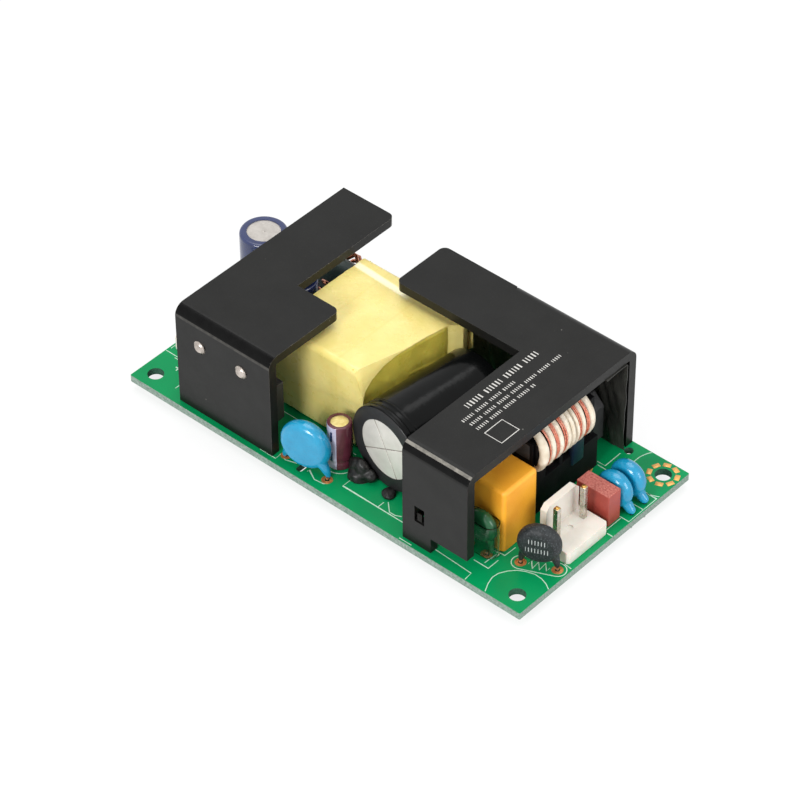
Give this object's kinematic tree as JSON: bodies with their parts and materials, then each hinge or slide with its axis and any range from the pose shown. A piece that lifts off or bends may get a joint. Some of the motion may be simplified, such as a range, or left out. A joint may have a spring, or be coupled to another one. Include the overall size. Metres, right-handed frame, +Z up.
{
  "type": "open-frame switching power supply",
  "caption": "Open-frame mains power supply on a green circuit board, with two bent black heatsinks, a taped transformer, capacitors, chokes and crimp headers at both ends.",
  "frame": {"origin": "centre of the rectangle of the four mounting holes, on the board's underside", "axes": "+X along the board towards the mains input header, +Y across the board towards the far heatsink wall, +Z up out of the component side"},
  "size_m": [0.1016, 0.0508, 0.028],
  "materials": {
    "solder_mask_board": "glossy green mask on glass-epoxy laminate",
    "solder": "bright solder",
    "black_anodised_sheet": "satin black anodised",
    "tinned_pins": "bright tin",
    "nickel_screws": "nickel plated",
    "bushing_plastic": "matt",
    "insulating_rubber": "matt grey silicone",
    "moulding_compound": "fine matt",
    "tinned_leads": "bright tin",
    "spring_steel": "satin",
    "ferrite": "matt dark grey",
    "black_phenolic": "satin",
    "enamelled_copper": "glossy enamel over copper",
    "yellow_tape": "glossy film tape",
    "can_aluminium": "drawn, satin",
    "black_sleeve": "glossy shrink sleeve",
    "adhesive": "satin",
    "maroon_sleeve": "glossy shrink sleeve",
    "navy_sleeve": "glossy shrink sleeve",
    "blue_coating": "glossy dipped epoxy",
    "orange_case": "satin",
    "green_coating": "glossy dipped epoxy",
    "clear_tube": "clear shrink tube",
    "black_coating": "satin dipped coating",
    "brick_red_case": "matt",
    "white_nylon": "satin",
    "cream_wire": "satin insulation",
    "red_enamelled_wire": "glossy enamel",
    "green_painted_core": "satin paint",
    "black_film": "glossy film",
    "chip_ceramic": "satin"
  },
  "bodies": {
    "root": {"circuit_board": "solder_mask_board", "solder_joints": "solder", "output_heatsink": "black_anodised_sheet", "input_heatsink": "black_anodised_sheet", "heatsink_pins": "tinned_pins", "rectifier_screws": "nickel_screws", "rectifier_bushings": "bushing_plastic", "rectifier_pads": "insulating_rubber", "rectifier_bodies": "moulding_compound", "rectifier_leadframes": "tinned_leads", "transistor_body": "moulding_compound", "transistor_leadframe": "tinned_leads", "transistor_pad": "insulating_rubber", "transistor_clip": "spring_steel", "bridge_rectifier_body": "moulding_compound", "bridge_rectifier_leads": "tinned_leads", "transformer_lower_core": "ferrite", "transformer_upper_core": "ferrite", "transformer_bobbin": "black_phenolic", "transformer_winding": "enamelled_copper", "transformer_tape": "yellow_tape", "transformer_end_wraps": "yellow_tape", "transformer_pins": "tinned_pins", "bulk_capacitor_can": "can_aluminium", "bulk_capacitor_sleeve": "black_sleeve", "bulk_capacitor_adhesive": "adhesive", "bias_capacitor_can": "can_aluminium", "bias_capacitor_sleeve": "maroon_sleeve", "output_capacitor_can": "can_aluminium", "output_capacitor_sleeve": "navy_sleeve", "filter_capacitor_can": "can_aluminium", "filter_capacitor_sleeve": "navy_sleeve", "capacitor_leads": "tinned_leads", "isolation_capacitor": "blue_coating", "line_capacitor_front": "blue_coating", "line_capacitor_rear": "blue_coating", "disc_capacitor_leads": "tinned_leads", "suppression_capacitor": "orange_case", "varistor_body": "green_coating", "varistor_tube": "clear_tube", "thermistor_body": "black_coating", "fuse_body": "brick_red_case", "input_part_leads": "tinned_leads", "input_header_housing": "white_nylon", "input_header_pins": "tinned_pins", "output_header_housing": "white_nylon", "output_header_pins": "tinned_pins", "choke_core": "ferrite", "choke_base": "black_phenolic", "choke_insulated_winding": "cream_wire", "choke_bare_winding": "red_enamelled_wire", "choke_pins": "tinned_pins", "output_inductor_core": "green_painted_core", "output_inductor_winding": "enamelled_copper", "insulating_film": "black_film", "optocoupler_body": "moulding_compound", "optocoupler_leads": "tinned_leads", "controller_chip": "moulding_compound", "chip_parts": "chip_ceramic"}
  },
  "joints": []
}
